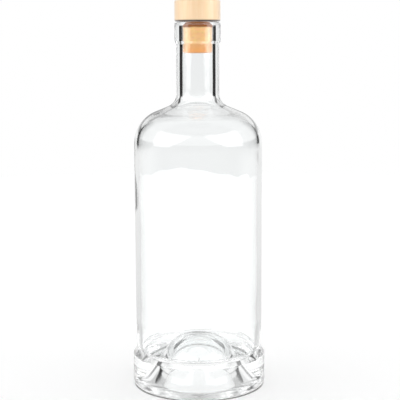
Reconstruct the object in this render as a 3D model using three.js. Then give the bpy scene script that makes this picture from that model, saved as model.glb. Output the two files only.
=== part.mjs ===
// A 700 ml clear glass spirits bottle with a bar-top stopper, modelled in millimetres with +Z up.
// The origin is the centre of the foot, on the surface that the bottle stands on.
// The glass is one blown piece. The stopper is a turned wooden head with a cork shank glued into it.
import * as THREE from 'three';

// Bottle heights, each measured up from the table
const bottleHeight = 238;
const collarHeight = 13.8;
const neckLength = 37.7;
const heelHeight = 21;
const stepHeight = 4;
const waistHeight = 21;
const floorHeight = 18.5;
const thickeningHeight = 25;

// Bottle diameters, walls and proud edges
const bodyDiameter = 83;
const bodyWall = 3.3;
const heelProud = 2;
const waistDepth = 0.65;
const thickening = 1.3;
const boreDiameter = 19.5;
const neckWall = 4.15;
const collarProud = 1;
const collarUndercut = 1.6;
const shoulderSlope = 22;
const shoulderWall = 3.4;

// Push-up: the dome that is pressed into the bottom of the bottle
const pushUpHeight = 29.8;
const pushUpRadius = 18.5;
const pushUpLean = 25;
const pushUpFootHeight = 1;
const crownWall = 4.2;
const domeWall = 8.5;
const domeLean = 25;
const footWidth = 8;

// Fillets of the glass
const heelCornerFillet = 3.5;
const heelTopFillet = 1.4;
const waistFillet = 0.6;
const bodyFillet = 60;
const shoulderFillet = 21.8;
const innerShoulderFillet = 18.5;
const neckFillet = 8.5;
const innerNeckFillet = 11;
const collarFillet = 0.7;
const lipFillet = 1.8;
const mouthFillet = 2.4;
const floorFillet = 7;
const valleyFillet = 4;
const pushUpFootFillet = 6;
const footInnerFillet = 1.5;

// Stopper
const headHeight = 13.6;
const headRim = 5;
const headTopFillet = 1.3;
const headBottomFillet = 1.2;
const socketDepth = 6;
const shankReach = 20;
const shankClearance = 0.15;
const shankChamfer = 0.9;
const glueGap = 0.2;
const seatGap = 0.3;

// Facets
const turnSegments = 56;
const filletStep = 20;
const chordTolerance = 0.12;

const radians = THREE.MathUtils.degToRad;
const bodyRadius = bodyDiameter / 2;
const boreRadius = boreDiameter / 2;
const neckRadius = boreRadius + neckWall;
const collarRadius = neckRadius + collarProud;
const shankRadius = boreRadius - shankClearance;
const socketRadius = shankRadius + glueGap;

// One corner of an outline: its distance from the axis, its height and the radius that rounds it
function corner(r, z, fillet = 0) {
  return { at: new THREE.Vector2(r, z), fillet };
}

// The directions from a corner to its two neighbours, and the angle between them
function sidesOf(corners, i) {
  const back = corners[i - 1].at.clone().sub(corners[i].at).normalize();
  const on = corners[i + 1].at.clone().sub(corners[i].at).normalize();
  return { back, on, opening: Math.acos(THREE.MathUtils.clamp(back.dot(on), -1, 1)) };
}

// How far each fillet reaches along its sides, shortened where two fillets would run into each other
function reachesOf(corners) {
  const wanted = corners.map((here, i) => (
    here.fillet > 0 ? here.fillet / Math.tan(sidesOf(corners, i).opening / 2) : 0
  ));
  const sideShare = (i) => {
    const length = corners[i].at.distanceTo(corners[i + 1].at);
    return Math.min(1, length / Math.max(wanted[i] + wanted[i + 1], Number.EPSILON));
  };
  return wanted.map((reach, i) => (reach > 0 ? reach * Math.min(sideShare(i - 1), sideShare(i)) : 0));
}

// The points of the arc that rounds one corner
function arcAt(corners, i, reach) {
  const { back, on, opening } = sidesOf(corners, i);
  const radius = reach * Math.tan(opening / 2);
  const middle = back.clone().add(on).normalize();
  const centre = corners[i].at.clone().addScaledVector(middle, radius / Math.sin(opening / 2));
  const start = corners[i].at.clone().addScaledVector(back, reach);
  const turn = (Math.PI - opening) * (back.cross(on) < 0 ? 1 : -1);
  const chordStep = 2 * Math.acos(Math.max(0, 1 - chordTolerance / radius));
  const steps = Math.ceil(Math.abs(turn) / Math.min(radians(filletStep), chordStep));
  return Array.from({ length: steps + 1 }, (_, k) => start.clone().rotateAround(centre, (turn * k) / steps));
}

// An outline from its corners: sharp where the fillet is 0, and otherwise rounded
function outline(corners) {
  const reaches = reachesOf(corners);
  return corners.flatMap((here, i) => (reaches[i] > 0 ? arcAt(corners, i, reaches[i]) : [here.at.clone()]));
}

// A solid turned about the Z axis from an outline that starts and ends on the axis
function turned(corners) {
  const geometry = new THREE.LatheGeometry(outline(corners), turnSegments);
  geometry.rotateX(Math.PI / 2);
  return geometry;
}

// The two corners that make a dome of this crown radius, with sides that lean out to its foot
function domeCorners(crownHeight, crownRadius, lean, footHeight, footFillet) {
  const crownCorner = crownRadius * Math.tan(radians(90 - lean) / 2);
  const footRadius = crownCorner + (crownHeight - footHeight) * Math.tan(radians(lean));
  return [corner(crownCorner, crownHeight, crownRadius), corner(footRadius, footHeight, footFillet)];
}

// The underside, from the middle of the push-up out to the ring that the bottle stands on
function underside() {
  const heelRadius = bodyRadius + heelProud;
  return [
    corner(0, pushUpHeight),
    ...domeCorners(pushUpHeight, pushUpRadius, pushUpLean, pushUpFootHeight, pushUpFootFillet),
    corner(heelRadius - footWidth, 0, footInnerFillet),
    corner(heelRadius, 0, heelCornerFillet),
  ];
}

// The outside, from the heel band up over the waist, body, shoulder, neck and collar to the lip
function outside() {
  const waistBottom = heelHeight + stepHeight;
  const shoulderTop = bottleHeight - collarHeight - neckLength;
  const shoulderRise = (bodyRadius - neckRadius) * Math.tan(radians(shoulderSlope));
  const collarBottom = bottleHeight - collarHeight;
  return [
    corner(bodyRadius + heelProud, heelHeight, heelTopFillet),
    corner(bodyRadius - waistDepth, waistBottom, waistFillet),
    corner(bodyRadius, waistBottom + waistHeight, bodyFillet),
    corner(bodyRadius, shoulderTop - shoulderRise, shoulderFillet),
    corner(neckRadius, shoulderTop, neckFillet),
    corner(neckRadius, collarBottom, collarFillet),
    corner(collarRadius, collarBottom + collarUndercut, collarFillet),
    corner(collarRadius, bottleHeight, lipFillet),
  ];
}

// The inside, from the mouth down the bore and the wall to the top of the dome
function inside() {
  const slope = radians(shoulderSlope);
  const innerRadius = bodyRadius - bodyWall;
  const shoulderTop = bottleHeight - collarHeight - neckLength;
  const innerTop = shoulderTop + neckWall * Math.tan(slope) - shoulderWall / Math.cos(slope);
  const innerFall = (innerRadius - boreRadius) * Math.tan(slope);
  const dome = domeCorners(
    pushUpHeight + crownWall, pushUpRadius + domeWall, domeLean, floorHeight, valleyFillet,
  );
  return [
    corner(boreRadius, bottleHeight, mouthFillet),
    corner(boreRadius, innerTop, innerNeckFillet),
    corner(innerRadius, innerTop - innerFall, innerShoulderFillet),
    corner(innerRadius, floorHeight + thickeningHeight, bodyFillet),
    corner(innerRadius - thickening, floorHeight, floorFillet),
    ...dome.reverse(),
    corner(0, pushUpHeight + crownWall),
  ];
}

function glassBottle() {
  return turned([...underside(), ...outside(), ...inside()]);
}

// The head stands on its underside at height 0, and the socket for the shank opens downwards
function stopperHead() {
  const headRadius = socketRadius + headRim;
  return turned([
    corner(0, socketDepth),
    corner(socketRadius, socketDepth),
    corner(socketRadius, 0),
    corner(headRadius, 0, headBottomFillet),
    corner(headRadius, headHeight, headTopFillet),
    corner(0, headHeight),
  ]);
}

// The shank hangs from the ceiling of the socket and reaches down into the neck
function corkShank() {
  const top = socketDepth - glueGap;
  return turned([
    corner(0, -shankReach),
    corner(shankRadius - shankChamfer, -shankReach),
    corner(shankRadius, shankChamfer - shankReach),
    corner(shankRadius, top),
    corner(0, top),
  ]);
}

function piece(name, geometry, material) {
  const mesh = new THREE.Mesh(geometry, material);
  mesh.name = name;
  return mesh;
}

const glass = new THREE.MeshStandardMaterial({
  color: 0xf4f7f6, roughness: 0.04, metalness: 0, transparent: true, opacity: 0.35,
});
const wood = new THREE.MeshStandardMaterial({ color: 0xf2d6b0, roughness: 0.6, metalness: 0 });
const cork = new THREE.MeshStandardMaterial({ color: 0xd9a465, roughness: 0.85, metalness: 0 });

const stopper = new THREE.Group();
stopper.position.z = bottleHeight + seatGap;
stopper.add(piece('stopper_head', stopperHead(), wood));
stopper.add(piece('cork_shank', corkShank(), cork));

const bottle = new THREE.Group();
bottle.add(piece('glass_bottle', glassBottle(), glass));
bottle.add(stopper);

export default bottle;
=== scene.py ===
# An empty 700 ml gin bottle of clear glass with a wooden bar-top stopper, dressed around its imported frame.
import math

import bpy
from mathutils import Matrix, Vector


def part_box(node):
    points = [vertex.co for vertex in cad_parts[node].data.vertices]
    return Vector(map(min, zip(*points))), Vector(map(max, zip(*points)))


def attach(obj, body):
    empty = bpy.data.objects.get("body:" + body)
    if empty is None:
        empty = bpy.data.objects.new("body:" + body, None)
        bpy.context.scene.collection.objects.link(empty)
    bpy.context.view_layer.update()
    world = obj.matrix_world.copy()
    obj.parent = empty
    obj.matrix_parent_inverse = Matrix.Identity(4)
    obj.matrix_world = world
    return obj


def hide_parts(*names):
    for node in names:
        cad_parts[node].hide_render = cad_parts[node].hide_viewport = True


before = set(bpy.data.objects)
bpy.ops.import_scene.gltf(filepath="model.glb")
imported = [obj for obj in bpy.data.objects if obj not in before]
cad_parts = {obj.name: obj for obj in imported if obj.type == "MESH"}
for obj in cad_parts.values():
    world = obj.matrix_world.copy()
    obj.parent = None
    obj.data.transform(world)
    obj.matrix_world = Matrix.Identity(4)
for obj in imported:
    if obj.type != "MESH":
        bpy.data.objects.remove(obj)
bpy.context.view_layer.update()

# The glass bottle
# One gob of clear flint glass, blown in a two-part mould. The mould gives the outside its true form and a
# fine seam, and the air inside leaves the inner wall uneven. The heavy bottom is pushed up by a domed plug.
MM = 0.001
foot_corner, lip_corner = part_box("glass_bottle")
heel_radius = lip_corner.x / MM
bottle_height = lip_corner.z / MM
heel_proud = 2.0
waist_depth = 0.65
body_wall = 3.3
thickening = 1.3
neck_wall = 4.15
collar_proud = 1.0
bore_radius = 9.75
body_radius = heel_radius - heel_proud
neck_radius = bore_radius + neck_wall
collar_radius = neck_radius + collar_proud

heel_height = 21.0
waist_bottom = 25.0
waist_top = 46.0
floor_height = 18.5
thickening_top = 43.5
plate_seam = 0.4
collar_bottom = bottle_height - 13.8
collar_undercut = 1.6
shoulder_top = collar_bottom - 37.7
shoulder_slope = math.radians(22)
shoulder_wall = 3.4

push_up_height = 29.8
push_up_radius = 18.5
push_up_lean = math.radians(25)
push_up_foot = 1.0
crown_wall = 4.2
dome_wall = 8.5
dome_lean = math.radians(25)
foot_width = 8.0


def corner(r, z, fillet=0.0):
    """One corner of a section: its distance from the axis, its height and the radius that rounds it."""
    return Vector((r, z)), fillet


def sides_of(corners, i):
    """The directions from a corner to its two neighbours, and the angle between them."""
    back = (corners[i - 1][0] - corners[i][0]).normalized()
    on = (corners[i + 1][0] - corners[i][0]).normalized()
    return back, on, math.acos(max(-1.0, min(1.0, back.dot(on))))


def reaches_of(corners):
    """How far each fillet reaches along its sides, shortened where two of them would run into each other."""
    wanted = [
        fillet / math.tan(sides_of(corners, i)[2] / 2) if fillet > 0 else 0.0
        for i, (_, fillet) in enumerate(corners)
    ]

    def share(i):
        length = (corners[i + 1][0] - corners[i][0]).length
        return min(1.0, length / max(wanted[i] + wanted[i + 1], 1e-9))

    return [
        reach * min(share(i - 1), share(i)) if reach > 0 else 0.0
        for i, reach in enumerate(wanted)
    ]


def rounded(corners, arc_step=math.radians(5), longest=3.0):
    """The points of a section with its corners rounded, and its long lines and arcs cut into short steps."""
    reaches = reaches_of(corners)
    points = []
    for i, (at, _) in enumerate(corners):
        stretch = [at.copy()]
        if reaches[i] > 0:
            back, on, opening = sides_of(corners, i)
            radius = reaches[i] * math.tan(opening / 2)
            centre = at + (back + on).normalized() * (radius / math.sin(opening / 2))
            start = at + back * reaches[i] - centre
            turn = (math.pi - opening) * (1 if back.cross(on) < 0 else -1)
            steps = math.ceil(max(abs(turn) / arc_step, abs(turn) * radius / longest))
            stretch = [centre + Matrix.Rotation(turn * k / steps, 2) @ start for k in range(steps + 1)]
        if points:
            gap = stretch[0] - points[-1]
            cuts = math.ceil(gap.length / longest)
            points += [points[-1] + gap * (k / cuts) for k in range(1, cuts)]
        points += stretch
    return points


def dome(crown_height, crown_radius, lean, foot_height, foot_fillet):
    """The two corners of a dome whose sides lean out from its round crown to its foot."""
    crown_corner = crown_radius * math.tan((math.pi / 2 - lean) / 2)
    foot_radius = crown_corner + (crown_height - foot_height) * math.tan(lean)
    return [corner(crown_corner, crown_height, crown_radius), corner(foot_radius, foot_height, foot_fillet)]


def underside():
    """From the middle of the push-up out to the ring that the bottle stands on."""
    return [
        corner(0, push_up_height),
        *dome(push_up_height, push_up_radius, push_up_lean, push_up_foot, 6.0),
        corner(heel_radius - foot_width, 0, 1.5),
        corner(heel_radius, 0, 3.5),
    ]


def outside():
    """From the heel band up over the plate seam, the waist, body, shoulder and neck to the lip."""
    shoulder_rise = (body_radius - neck_radius) * math.tan(shoulder_slope)
    return [
        corner(heel_radius, heel_height, 1.4),
        corner(body_radius - waist_depth, waist_bottom, 0.6),
        corner(body_radius - waist_depth, waist_bottom + plate_seam, 0.05),
        corner(body_radius - waist_depth + plate_seam, waist_bottom + 2 * plate_seam, 0.1),
        corner(body_radius - waist_depth, waist_bottom + 3 * plate_seam, 0.05),
        corner(body_radius, waist_top, 60.0),
        corner(body_radius, shoulder_top - shoulder_rise, 21.8),
        corner(neck_radius, shoulder_top, 8.5),
        corner(neck_radius, collar_bottom, 0.7),
        corner(collar_radius, collar_bottom + collar_undercut, 0.7),
        corner(collar_radius, bottle_height, 1.8),
    ]


def inside():
    """From the mouth down the bore and the wall to the valley, and up over the dome."""
    inner_radius = body_radius - body_wall
    inner_top = shoulder_top + neck_wall * math.tan(shoulder_slope) - shoulder_wall / math.cos(shoulder_slope)
    inner_fall = (inner_radius - bore_radius) * math.tan(shoulder_slope)
    crown = push_up_height + crown_wall
    return [
        corner(bore_radius, bottle_height, 2.4),
        corner(bore_radius, inner_top, 11.0),
        corner(inner_radius, inner_top - inner_fall, 18.5),
        corner(inner_radius, thickening_top, 60.0),
        corner(inner_radius - thickening, floor_height, 7.0),
        *reversed(dome(crown, push_up_radius + dome_wall, dome_lean, floor_height, 4.0)),
        corner(0, crown),
    ]


def add(tree, kind, inputs=None, **settings):
    """Adds a node with its settings. Each input gets a value, a socket or another node's first output."""
    node = tree.nodes.new(kind)
    for name, value in settings.items():
        setattr(node, name, value)
    for key, value in (inputs or {}).items():
        if isinstance(value, bpy.types.Node):
            value = value.outputs[0]
        if isinstance(value, bpy.types.NodeSocket):
            tree.links.new(value, node.inputs[key])
        else:
            node.inputs[key].default_value = value
    return node


def geometry_tree(name, **sockets):
    """A Geometry Nodes group with named inputs, each given as its socket kind."""
    tree = bpy.data.node_groups.new(name, "GeometryNodeTree")
    tree.interface.new_socket("Geometry", in_out="INPUT", socket_type="NodeSocketGeometry")
    for label, kind in sockets.items():
        tree.interface.new_socket(label, in_out="INPUT", socket_type="NodeSocket" + kind)
    tree.interface.new_socket("Geometry", in_out="OUTPUT", socket_type="NodeSocketGeometry")
    return tree, tree.nodes.new("NodeGroupInput").outputs


def finish_tree(tree, geometry, material):
    """Ends a tree in plain geometry with one material."""
    real = add(tree, "GeometryNodeRealizeInstances", {0: geometry})
    painted = add(tree, "GeometryNodeSetMaterial", {"Geometry": real, "Material": material})
    add(tree, "NodeGroupOutput", {0: painted})


def turning_tree():
    """Turns a section in the XZ plane round the Z axis, with its steps drawn together at the seams."""
    tree, given = geometry_tree(
        "turned round the axis", Rail="Float", Turns="Int", Crowding="Float", Material="Material",
    )
    section = add(tree, "GeometryNodeMeshToCurve", {0: given["Geometry"]})
    shift = add(tree, "ShaderNodeMath", {0: given["Rail"], 1: -1.0}, operation="MULTIPLY")
    offset = add(tree, "ShaderNodeCombineXYZ", {0: shift})
    laid = add(tree, "GeometryNodeTransform", {
        "Geometry": section, "Translation": offset, "Rotation": (math.pi / 2, 0, 0),
    })
    rail = add(tree, "GeometryNodeCurvePrimitiveCircle", {
        "Resolution": given["Turns"], "Radius": given["Rail"],
    })
    swept = add(tree, "GeometryNodeCurveToMesh", {0: rail, "Profile Curve": laid})
    place = add(tree, "ShaderNodeSeparateXYZ", {0: add(tree, "GeometryNodeInputPosition")})
    angle = add(tree, "ShaderNodeMath", {0: place.outputs[1], 1: place}, operation="ARCTAN2")
    twice = add(tree, "ShaderNodeMath", {0: angle, 1: 2.0}, operation="MULTIPLY")
    wave = add(tree, "ShaderNodeMath", {0: twice}, operation="SINE")
    slip = add(tree, "ShaderNodeMath", {0: wave, 1: given["Crowding"]}, operation="MULTIPLY")
    crowded = add(tree, "ShaderNodeVectorRotate", {
        "Vector": add(tree, "GeometryNodeInputPosition"), "Angle": slip,
    }, rotation_type="Z_AXIS")
    moved = add(tree, "GeometryNodeSetPosition", {"Geometry": swept, "Position": crowded})
    closed = add(tree, "GeometryNodeMergeByDistance", {"Geometry": moved, "Distance": 0.002 * MM})
    outwards = add(tree, "GeometryNodeFlipFaces", {"Mesh": closed})
    smooth = add(tree, "GeometryNodeSetShadeSmooth", {"Geometry": outwards})
    finish_tree(tree, smooth.outputs[0], given["Material"])
    return tree


def seam_tree():
    """Raises the fine ridge that a two-part mould leaves along the front and the back."""
    tree, given = geometry_tree("mould seam", Width="Float", Height="Float", Material="Material")
    place = add(tree, "ShaderNodeSeparateXYZ", {0: add(tree, "GeometryNodeInputPosition")})
    aside = add(tree, "ShaderNodeMath", {0: place}, operation="ABSOLUTE")
    ridge = add(tree, "ShaderNodeMapRange", {
        "Value": aside, "From Min": 0.0, "From Max": given["Width"],
        "To Min": given["Height"], "To Max": 0.0,
    }, interpolation_type="SMOOTHSTEP")
    moulded = add(tree, "GeometryNodeInputNamedAttribute", {"Name": "moulded"}, data_type="FLOAT")
    rise = add(tree, "ShaderNodeMath", {0: ridge, 1: moulded}, operation="MULTIPLY")
    out = add(tree, "ShaderNodeVectorMath", {
        0: add(tree, "GeometryNodeInputNormal"), "Scale": rise,
    }, operation="SCALE")
    raised = add(tree, "GeometryNodeSetPosition", {"Geometry": given["Geometry"], "Offset": out})
    finish_tree(tree, raised.outputs[0], given["Material"])
    return tree


def ripple_tree():
    """Moves a surface in and out by soft noise, where the attribute uneven says how much."""
    tree, given = geometry_tree(
        "uneven surface", Height="Float", Length="Float", Stretch="Float", Seed="Float", Material="Material",
    )
    place = add(tree, "ShaderNodeSeparateXYZ", {0: add(tree, "GeometryNodeInputPosition")})
    drawn = add(tree, "ShaderNodeMath", {0: place.outputs[2], 1: given["Stretch"]}, operation="DIVIDE")
    spot = add(tree, "ShaderNodeCombineXYZ", {0: place, 1: place.outputs[1], 2: drawn})
    scale = add(tree, "ShaderNodeMath", {0: 1.0, 1: given["Length"]}, operation="DIVIDE")
    noise = add(tree, "ShaderNodeTexNoise", {
        "Vector": spot, "W": given["Seed"], "Scale": scale, "Detail": 1.0,
    }, noise_dimensions="4D")
    both_ways = add(tree, "ShaderNodeMath", {0: noise, 1: 0.5}, operation="SUBTRACT")
    height = add(tree, "ShaderNodeMath", {0: both_ways, 1: given["Height"]}, operation="MULTIPLY")
    uneven = add(tree, "GeometryNodeInputNamedAttribute", {"Name": "uneven"}, data_type="FLOAT")
    amount = add(tree, "ShaderNodeMath", {0: height, 1: uneven}, operation="MULTIPLY")
    out = add(tree, "ShaderNodeVectorMath", {
        0: add(tree, "GeometryNodeInputNormal"), "Scale": amount,
    }, operation="SCALE")
    moved = add(tree, "GeometryNodeSetPosition", {"Geometry": given["Geometry"], "Offset": out})
    finish_tree(tree, moved.outputs[0], given["Material"])
    return tree


def section_object(name, stretches):
    """A line of vertices in the XZ plane. A stretch is its points, and how moulded and uneven they are."""
    points = [(point, moulded, uneven) for line, moulded, uneven in stretches for point in line]
    mesh = bpy.data.meshes.new(name)
    mesh.from_pydata(
        [(point.x * MM, 0, point.y * MM) for point, _, _ in points],
        [(k, k + 1) for k in range(len(points) - 1)],
        [],
    )
    for column, attribute in ((1, "moulded"), (2, "uneven")):
        layer = mesh.attributes.new(attribute, "FLOAT", "POINT")
        layer.data.foreach_set("value", [float(row[column]) for row in points])
    piece = bpy.data.objects.new(name, mesh)
    bpy.context.collection.objects.link(piece)
    return piece


def give_nodes(piece, tree, **values):
    """Puts a Geometry Nodes group on a piece, with its named inputs set."""
    modifier = piece.modifiers.new(tree.name, "NODES")
    modifier.node_group = tree
    for item in tree.interface.items_tree:
        if item.in_out == "INPUT" and item.name in values:
            modifier[item.identifier] = values[item.name]


def make_plain(piece):
    """Replaces a piece's line and modifiers by the mesh that they make."""
    line = piece.data
    depsgraph = bpy.context.evaluated_depsgraph_get()
    piece.data = bpy.data.meshes.new_from_object(piece.evaluated_get(depsgraph), depsgraph=depsgraph)
    piece.modifiers.clear()
    piece.data.name = piece.name
    bpy.data.meshes.remove(line)


def linear(code):
    """A hex sRGB colour as linear red, green, blue and alpha."""
    parts = [int(code[i:i + 2], 16) / 255 for i in (1, 3, 5)]
    return [p / 12.92 if p <= 0.04045 else ((p + 0.055) / 1.055) ** 2.4 for p in parts] + [1.0]


def new_material(name):
    """An empty material and its output node."""
    material = bpy.data.materials.new(name)
    material.use_nodes = True
    material.node_tree.nodes.clear()
    return material, material.node_tree, material.node_tree.nodes.new("ShaderNodeOutputMaterial")


def flint_glass():
    """Soda-lime flint glass, fire-polished: clear and colourless, with a faint ripple left by the mould."""
    material, tree, output = new_material("clear flint glass")
    place = add(tree, "ShaderNodeTexCoord").outputs["Object"]
    ripple_length = 14 * MM
    ripple = add(tree, "ShaderNodeTexNoise", {"Vector": place, "Scale": 1 / ripple_length, "Detail": 1.0})
    bump = add(tree, "ShaderNodeBump", {
        "Height": ripple, "Strength": 0.25, "Distance": 0.1 * MM,
    })
    glass = add(tree, "ShaderNodeBsdfPrincipled", {
        "Base Color": linear("#FDFEFE"), "Roughness": 0.0, "IOR": 1.52, "Transmission Weight": 1.0,
        "Normal": bump,
    })
    tree.links.new(glass.outputs[0], output.inputs["Surface"])
    return material


turning = turning_tree()
seam = seam_tree()
ripples = ripple_tree()
glass_material = flint_glass()

whole = rounded(underside() + outside() + inside())
lip_index = max(range(len(whole)), key=lambda k: (whole[k].y, -k))
heel_index = next(k for k, point in enumerate(whole) if point.x > heel_radius - 0.01)
bottle = section_object("clear_bottle", [
    (whole[:heel_index], 0, 0),
    (whole[heel_index:lip_index], 1, 0),
    (whole[lip_index:lip_index + 8], 0, 0),
    (whole[lip_index + 8:], 0, 1),
])
give_nodes(bottle, turning, Rail=10 * MM, Turns=256, Crowding=0.3, Material=glass_material)
give_nodes(bottle, seam, Width=0.8 * MM, Height=0.1 * MM, Material=glass_material)
give_nodes(bottle, ripples, Height=0.5 * MM, Length=22 * MM, Stretch=1.5, Seed=4.0, Material=glass_material)
make_plain(bottle)
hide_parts("glass_bottle")
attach(bottle, "bottle")

# The stopper's head
# A short cylinder of pale beech, turned on a lathe and sanded. Its edges are eased, and the cork is glued
# into a socket in its underside.
head_low, head_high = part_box("stopper_head")
head_radius = head_high.x / MM
head_bottom = head_low.z / MM
head_top = head_high.z / MM
shank_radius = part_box("cork_shank")[1].x / MM
shank_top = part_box("cork_shank")[1].z / MM
shank_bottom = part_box("cork_shank")[0].z / MM
glue_gap = 0.2


def turned_beech():
    """Beech, turned and waxed: pale, with fine grain lines under a satin film, and painted shade on its
    underside.
    """
    material, tree, output = new_material("turned beech")
    place = add(tree, "ShaderNodeTexCoord").outputs["Object"]
    grain_place = add(tree, "ShaderNodeMapping", {"Vector": place, "Scale": (1.0, 1.0, 0.06)})
    grain_width = 0.9 * MM
    grain = add(tree, "ShaderNodeTexNoise", {
        "Vector": grain_place, "Scale": 1 / grain_width, "Detail": 3.0, "Roughness": 0.6,
    })
    growth_width = 4 * MM
    growth = add(tree, "ShaderNodeTexNoise", {
        "Vector": grain_place, "Scale": 1 / growth_width, "Detail": 2.0,
    })
    mixed = add(tree, "ShaderNodeMath", {0: grain, 1: growth}, operation="ADD")
    shade = add(tree, "ShaderNodeMapRange", {"Value": mixed, "From Min": 0.7, "From Max": 1.3})
    colour = add(tree, "ShaderNodeMix", {
        0: shade, 6: linear("#FBD29C"), 7: linear("#FFDDB4"),
    }, data_type="RGBA")
    # Painted shade: faces that turn down, the underside and the lower half of its edge, are painted
    # near-black brown without the satin film
    facing = add(tree, "ShaderNodeSeparateXYZ", {0: add(tree, "ShaderNodeTexCoord").outputs["Normal"]})
    painted_underside_shade = add(tree, "ShaderNodeMapRange", {
        "Value": facing.outputs[2], "From Min": 0.0, "From Max": -0.45,
    })
    beech_with_painted_shade = add(tree, "ShaderNodeMix", {
        0: painted_underside_shade, 6: colour.outputs[2], 7: linear("#2A1404"),
    }, data_type="RGBA")
    waxed = add(tree, "ShaderNodeMath", {0: 1.0, 1: painted_underside_shade}, operation="SUBTRACT")
    bump = add(tree, "ShaderNodeBump", {"Height": grain, "Strength": 0.15, "Distance": 0.1 * MM})
    wood = add(tree, "ShaderNodeBsdfPrincipled", {
        "Base Color": beech_with_painted_shade.outputs[2], "Roughness": 0.55, "IOR": 1.45, "Normal": bump,
        "Coat Weight": waxed, "Coat IOR": 1.8, "Coat Roughness": 0.4,
        "Sheen Weight": 0.8, "Sheen Roughness": 0.5,
    })
    tree.links.new(wood.outputs[0], output.inputs["Surface"])
    return material


beech = turned_beech()
socket_radius = shank_radius + glue_gap
head = section_object("beech_head", [(rounded([
    corner(0, shank_top + glue_gap),
    corner(socket_radius, shank_top + glue_gap),
    corner(socket_radius, head_bottom),
    corner(head_radius, head_bottom, 1.2),
    corner(head_radius, head_top, 1.3),
    corner(0, head_top),
], longest=1.0), 0, 0)])
give_nodes(head, turning, Rail=10 * MM, Turns=192, Crowding=0.0, Material=beech)
make_plain(head)
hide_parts("stopper_head")
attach(head, "stopper")

# The cork shank
# A cylinder of natural cork, punched from the bark and ground smooth, with its dark pores left open. It is
# glued into the head and squeezed into the neck.
# The top 2.6 mm of the cork, just under the head, is given painted shade
painted_shade_edge = head_bottom - 2.6


def ground_cork():
    """Natural cork, ground: warm tan, with darker grains a millimetre or two across, small brown pores, and
    painted shade at its top.
    """
    material, tree, output = new_material("ground natural cork")
    place = add(tree, "ShaderNodeTexCoord").outputs["Object"]
    grain_size = 1.6 * MM
    grains = add(tree, "ShaderNodeTexVoronoi", {"Vector": place, "Scale": 1 / grain_size})
    patch_size = 5 * MM
    patches = add(tree, "ShaderNodeTexNoise", {"Vector": place, "Scale": 1 / patch_size, "Detail": 3.0})
    tone = add(tree, "ShaderNodeMix", {
        0: patches, 6: linear("#F0AE55"), 7: linear("#FFCF80"),
    }, data_type="RGBA")
    colour = add(tree, "ShaderNodeMix", {
        0: 0.12, 6: tone.outputs[2], 7: grains.outputs["Color"],
    }, data_type="RGBA", blend_type="OVERLAY")
    pore_size = 2.2 * MM
    pore_noise = add(tree, "ShaderNodeTexNoise", {"Vector": place, "Scale": 1 / pore_size, "Detail": 4.0})
    pores = add(tree, "ShaderNodeMapRange", {"Value": pore_noise, "From Min": 0.62, "From Max": 0.68})
    pitted = add(tree, "ShaderNodeMix", {
        0: pores, 6: colour.outputs[2], 7: linear("#B87B3C"),
    }, data_type="RGBA")
    height = add(tree, "ShaderNodeSeparateXYZ", {0: place})
    stain = add(tree, "ShaderNodeMapRange", {
        "Value": height.outputs[2], "From Min": (shank_bottom + 1) * MM, "From Max": (shank_bottom + 8) * MM,
        "To Min": 0.9, "To Max": 0.0,
    })
    steeped = add(tree, "ShaderNodeMix", {
        0: stain, 6: pitted.outputs[2], 7: linear("#FFA028"),
    }, data_type="RGBA")
    uneven_height = add(tree, "ShaderNodeMath", {
        0: patches, 1: 2.4 * MM, 2: height.outputs[2],
    }, operation="MULTIPLY_ADD")
    # Painted shade: the top of the cork under the head is painted dark brown, with a ragged lower edge and no
    # coat or sheen
    painted_shade_share = add(tree, "ShaderNodeMapRange", {
        "Value": uneven_height,
        "From Min": (painted_shade_edge - 0.3) * MM,
        "From Max": (painted_shade_edge + 0.5) * MM,
    })
    cork_with_painted_shade = add(tree, "ShaderNodeMix", {
        0: painted_shade_share, 6: steeped.outputs[2], 7: linear("#96520E"),
    }, data_type="RGBA")
    coat_outside_painted_shade = add(tree, "ShaderNodeMath", {0: 1.0, 1: painted_shade_share}, operation="SUBTRACT")
    bump = add(tree, "ShaderNodeBump", {
        "Height": pore_noise, "Strength": 0.5, "Distance": 0.3 * MM,
    })
    cork = add(tree, "ShaderNodeBsdfPrincipled", {
        "Base Color": cork_with_painted_shade.outputs[2], "Roughness": 0.85, "Normal": bump,
        "Coat Weight": coat_outside_painted_shade, "Coat IOR": 1.6, "Coat Roughness": 0.35,
        "Sheen Weight": coat_outside_painted_shade, "Sheen Roughness": 0.6,
    })
    tree.links.new(cork.outputs[0], output.inputs["Surface"])
    return material


cork_material = ground_cork()
shank = section_object("natural_cork_shank", [(rounded([
    corner(0, shank_bottom),
    corner(shank_radius - 0.9, shank_bottom, 0.4),
    corner(shank_radius, shank_bottom + 0.9, 0.4),
    corner(shank_radius, shank_top),
    corner(0, shank_top),
], longest=0.5), 0, 1)])
give_nodes(shank, turning, Rail=5 * MM, Turns=160, Crowding=0.0, Material=cork_material)
give_nodes(shank, ripples, Height=0.2 * MM, Length=2.4 * MM, Stretch=1.0, Seed=9.0, Material=cork_material)
make_plain(shank)
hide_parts("cork_shank")
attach(shank, "stopper")

# The floor
# A pale matt surface that the bottle stands on. It looks white to the camera, keeps the bottle's shadow, and
# has a painted contact shadow under the foot.
floor_radius = 1.2
# Radii in mm of the painted contact shadow, a grey ring on the floor under the foot
painted_contact_shadow_ring = (36.0, 39.0, 42.0, 43.5)
floor_mesh = bpy.data.meshes.new("pale_floor")
rim = [
    (floor_radius * math.cos(math.tau * k / 96), floor_radius * math.sin(math.tau * k / 96), foot_corner.z)
    for k in range(96)
]
floor_mesh.from_pydata(rim, [], [list(range(96))])
floor = bpy.data.objects.new("pale_floor", floor_mesh)
bpy.context.collection.objects.link(floor)


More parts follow.
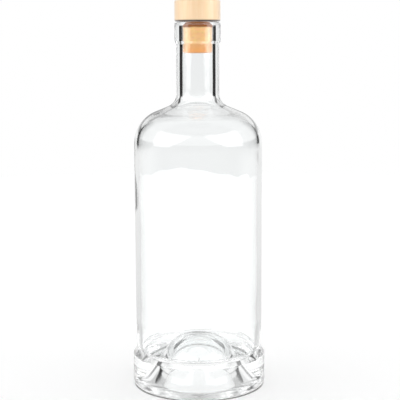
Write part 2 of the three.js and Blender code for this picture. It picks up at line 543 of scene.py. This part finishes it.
def floor_paint():
    """Matt white paint that glows a little, has a painted contact shadow round the foot, and isn't seen in
    reflections.
    """
    material, tree, output = new_material("matt white paint")
    path = add(tree, "ShaderNodeLightPath")
    seen = add(tree, "ShaderNodeMath", {0: path.outputs["Is Camera Ray"], 1: 0.15}, operation="MULTIPLY")
    lift = add(tree, "ShaderNodeMath", {
        0: path.outputs["Is Transmission Ray"], 1: 0.3, 2: seen,
    }, operation="MULTIPLY_ADD")
    place = add(tree, "ShaderNodeTexCoord").outputs["Object"]
    spread = add(tree, "ShaderNodeVectorMath", {0: place}, operation="LENGTH")
    inner_edge = add(tree, "ShaderNodeMapRange", {
        "Value": spread.outputs["Value"], "From Min": painted_contact_shadow_ring[0] * MM, "From Max": painted_contact_shadow_ring[1] * MM,
    })
    outer_edge = add(tree, "ShaderNodeMapRange", {
        "Value": spread.outputs["Value"], "From Min": painted_contact_shadow_ring[2] * MM, "From Max": painted_contact_shadow_ring[3] * MM,
        "To Min": 1.0, "To Max": 0.0,
    })
    painted_contact_shadow = add(tree, "ShaderNodeMath", {
        0: inner_edge, 1: outer_edge,
    }, operation="MULTIPLY")
    shade = add(tree, "ShaderNodeMix", {
        0: painted_contact_shadow, 6: linear("#F4F4F4"), 7: linear("#808080"),
    }, data_type="RGBA")
    paint = add(tree, "ShaderNodeBsdfDiffuse", {"Color": shade.outputs[2]})
    glow = add(tree, "ShaderNodeEmission", {"Color": shade.outputs[2], "Strength": lift})
    both = add(tree, "ShaderNodeAddShader", {0: glow, 1: paint})
    reflected = add(tree, "ShaderNodeMath", {
        0: path.outputs["Glossy Depth"], 1: 0.5,
    }, operation="GREATER_THAN")
    clear = add(tree, "ShaderNodeBsdfTransparent")
    surface = add(tree, "ShaderNodeMixShader", {0: reflected, 1: both, 2: clear})
    tree.links.new(surface.outputs[0], output.inputs["Surface"])
    return material


floor_mesh.materials.append(floor_paint())

# The light
# Matt surfaces get soft light from a white room, and all is white behind the glass. What the glass reflects
# is a studio: a white screen with grey bands, dark sides that are pale higher up, two windows, a pale table
# and a grey ceiling. Bearings are in degrees from straight behind, and heights are the sine of the angle up.
screen_edge = (31.0, 34.0)
low_band_heights = (0.06, 0.1, 0.2, 0.22)
low_band_levels = (0.35, 0.5)
high_band_start = (0.34, 0.38)
high_band_levels = (0.6, 0.8)
side_start = (0.05, 0.09)
side_levels = (0.01, 0.2)
low_side_level = 0.01
far_side_edge = (47.0, 53.0)
far_side_level = 0.9
window_edges = (91.0, 95.0, 127.0, 132.0)
window_lean = -60.0
window_sill = (-0.06, 0.0)
window_levels = (2.6, 3.4)
front_edge = (80.0, 92.0)
front_level = 0.2
table_edge = (-0.07, -0.1)
table_turn = (80.0, 100.0)
table_level = 0.85
front_table_level = 0.45
near_table_heights = (-0.14, -0.3)
near_table_level = 0.7
under_heights = (-0.4, -0.6)
under_level = 1.0
ceiling_starts = (0.5, 0.3, 0.55)
ceiling_start_turn = (75.0, 90.0)
ceiling_edge = 0.1
ceiling_turn = (85.0, 100.0)
ceiling_level = 0.6
front_ceiling_level = 0.15
soft_level = 0.75
through_glass_gain = 1.1

# Light that is reflected twice or more sees the same studio at levels of its own
second_screen_level = 0.5
second_band_level = 0.025
second_side_level = 0.5
second_ceiling_edge = (8.0, 22.0)
second_ceiling_levels = (0.15, 0.9)

world = bpy.data.worlds.new("white studio")
bpy.context.scene.world = world
world.use_nodes = True
sky = world.node_tree
sky.nodes.clear()
right, away, up = add(sky, "ShaderNodeSeparateXYZ", {
    0: add(sky, "ShaderNodeTexCoord").outputs["Generated"],
}).outputs
turn = add(sky, "ShaderNodeMath", {0: right, 1: away}, operation="ARCTAN2")
aside = add(sky, "ShaderNodeMath", {0: turn}, operation="ABSOLUTE")
bearing = add(sky, "ShaderNodeMath", {0: aside}, operation="DEGREES")
on_right = add(sky, "ShaderNodeMath", {0: right, 1: 0.0}, operation="GREATER_THAN")
path = add(sky, "ShaderNodeLightPath").outputs
first = add(sky, "ShaderNodeMath", {0: path["Glossy Depth"], 1: 0.5}, operation="GREATER_THAN")
second = add(sky, "ShaderNodeMath", {0: path["Glossy Depth"], 1: 1.5}, operation="GREATER_THAN")
matt = add(sky, "ShaderNodeMath", {0: path["Diffuse Depth"], 1: 0.5}, operation="GREATER_THAN")

low_band = add(sky, "ShaderNodeMix", {0: on_right, 2: low_band_levels[0], 3: low_band_levels[1]})
high_band = add(sky, "ShaderNodeMix", {0: on_right, 2: high_band_levels[0], 3: high_band_levels[1]})
banded = add(sky, "ShaderNodeMapRange", {
    0: up, 1: low_band_heights[0], 2: low_band_heights[1], 3: 1.0, 4: low_band,
})
between = add(sky, "ShaderNodeMapRange", {
    0: up, 1: low_band_heights[2], 2: low_band_heights[3], 3: banded, 4: 1.0,
})
first_screen = add(sky, "ShaderNodeMapRange", {
    0: up, 1: high_band_start[0], 2: high_band_start[1], 3: between, 4: high_band,
})
second_screen = add(sky, "ShaderNodeMapRange", {
    0: up, 1: low_band_heights[0], 2: low_band_heights[1], 3: second_screen_level, 4: second_band_level,
})
screen = add(sky, "ShaderNodeMix", {0: second, 2: first_screen, 3: second_screen})

near_side = add(sky, "ShaderNodeMix", {0: on_right, 2: side_levels[0], 3: side_levels[1]})
first_side = add(sky, "ShaderNodeMapRange", {
    0: bearing, 1: far_side_edge[0], 2: far_side_edge[1], 3: near_side, 4: far_side_level,
})
pale_side = add(sky, "ShaderNodeMix", {0: second, 2: first_side, 3: second_side_level})
side = add(sky, "ShaderNodeMapRange", {
    0: up, 1: side_start[0], 2: side_start[1], 3: low_side_level, 4: pale_side,
})
back = add(sky, "ShaderNodeMapRange", {0: bearing, 1: screen_edge[0], 2: screen_edge[1], 3: screen, 4: side})

front = add(sky, "ShaderNodeMapRange", {
    0: bearing, 1: front_edge[0], 2: front_edge[1], 3: 0.0, 4: front_level,
})
plain_walls = add(sky, "ShaderNodeMath", {0: back, 1: front}, operation="ADD")
window_start = add(sky, "ShaderNodeMapRange", {
    0: bearing, 1: window_edges[0], 2: window_edges[1], 3: 0.0, 4: 1.0,
})
leaning = add(sky, "ShaderNodeMath", {0: up, 1: window_lean, 2: bearing}, operation="MULTIPLY_ADD")
window_end = add(sky, "ShaderNodeMapRange", {
    0: leaning, 1: window_edges[2], 2: window_edges[3], 3: 1.0, 4: 0.0,
})
window_width = add(sky, "ShaderNodeMath", {0: window_start, 1: window_end}, operation="MULTIPLY")
window_level = add(sky, "ShaderNodeMix", {0: on_right, 2: window_levels[0], 3: window_levels[1]})
window = add(sky, "ShaderNodeMapRange", {
    0: up, 1: window_sill[0], 2: window_sill[1], 3: 0.0, 4: window_level,
})
walls = add(sky, "ShaderNodeMath", {0: window_width, 1: window, 2: plain_walls}, operation="MULTIPLY_ADD")

table = add(sky, "ShaderNodeMapRange", {
    0: bearing, 1: table_turn[0], 2: table_turn[1], 3: table_level, 4: front_table_level,
})
near_table = add(sky, "ShaderNodeMapRange", {
    0: up, 1: near_table_heights[0], 2: near_table_heights[1], 3: table, 4: near_table_level,
})
under_table = add(sky, "ShaderNodeMapRange", {
    0: up, 1: under_heights[0], 2: under_heights[1], 3: near_table, 4: under_level,
})
lower_studio = add(sky, "ShaderNodeMapRange", {
    0: up, 1: table_edge[0], 2: table_edge[1], 3: walls, 4: under_table,
})

second_ceiling = add(sky, "ShaderNodeMapRange", {
    0: bearing, 1: second_ceiling_edge[0], 2: second_ceiling_edge[1],
    3: second_ceiling_levels[0], 4: second_ceiling_levels[1],
})
back_ceiling = add(sky, "ShaderNodeMix", {0: second, 2: ceiling_level, 3: second_ceiling})
ceiling = add(sky, "ShaderNodeMapRange", {
    0: bearing, 1: ceiling_turn[0], 2: ceiling_turn[1], 3: back_ceiling, 4: front_ceiling_level,
})
back_start = add(sky, "ShaderNodeMix", {0: second, 2: ceiling_starts[0], 3: ceiling_starts[1]})
ceiling_start = add(sky, "ShaderNodeMapRange", {
    0: bearing, 1: ceiling_start_turn[0], 2: ceiling_start_turn[1], 3: back_start, 4: ceiling_starts[2],
})
over = add(sky, "ShaderNodeMath", {0: up, 1: ceiling_start}, operation="SUBTRACT")
studio = add(sky, "ShaderNodeMapRange", {0: over, 1: 0.0, 2: ceiling_edge, 3: lower_studio, 4: ceiling})

soft = add(sky, "ShaderNodeMath", {0: right, 1: right, 2: soft_level}, operation="MULTIPLY_ADD")
through_glass = add(sky, "ShaderNodeMath", {
    0: path["Is Transmission Ray"], 1: through_glass_gain, 2: 1.0,
}, operation="MULTIPLY_ADD")
matt_level = add(sky, "ShaderNodeMath", {0: soft, 1: through_glass}, operation="MULTIPLY")
glass_level = add(sky, "ShaderNodeMix", {0: first, 2: 1.0, 3: studio})
level = add(sky, "ShaderNodeMix", {0: matt, 2: glass_level, 3: matt_level})
backdrop = add(sky, "ShaderNodeBackground", {"Color": linear("#FFFFFF"), "Strength": level})
add(sky, "ShaderNodeOutputWorld", {"Surface": backdrop})

# The camera
# It stands in front of the bottle, level with its collar, and looks slightly down.
camera_data = bpy.data.cameras.new("camera")
camera_data.sensor_width = 36.0
camera_data.lens = 99.7
camera_data.clip_start = 0.05
camera = bpy.data.objects.new("camera", camera_data)
bpy.context.collection.objects.link(camera)
tilt = math.radians(90 - 8.1)
roll = math.radians(-0.27)
stand = Matrix.Translation((1.1 * MM, -0.719, 0.2251))
camera.matrix_world = stand @ Matrix.Rotation(tilt, 4, "X") @ Matrix.Rotation(roll, 4, "Z")
bpy.context.scene.camera = camera
bpy.context.scene.view_settings.view_transform = "Standard"

# Light that is caught in the thick bottom turns back many times before it leaves the glass
light_paths = bpy.context.scene.cycles
light_paths.max_bounces = 40
light_paths.glossy_bounces = 24
light_paths.transmission_bounces = 40
light_paths.transparent_max_bounces = 24
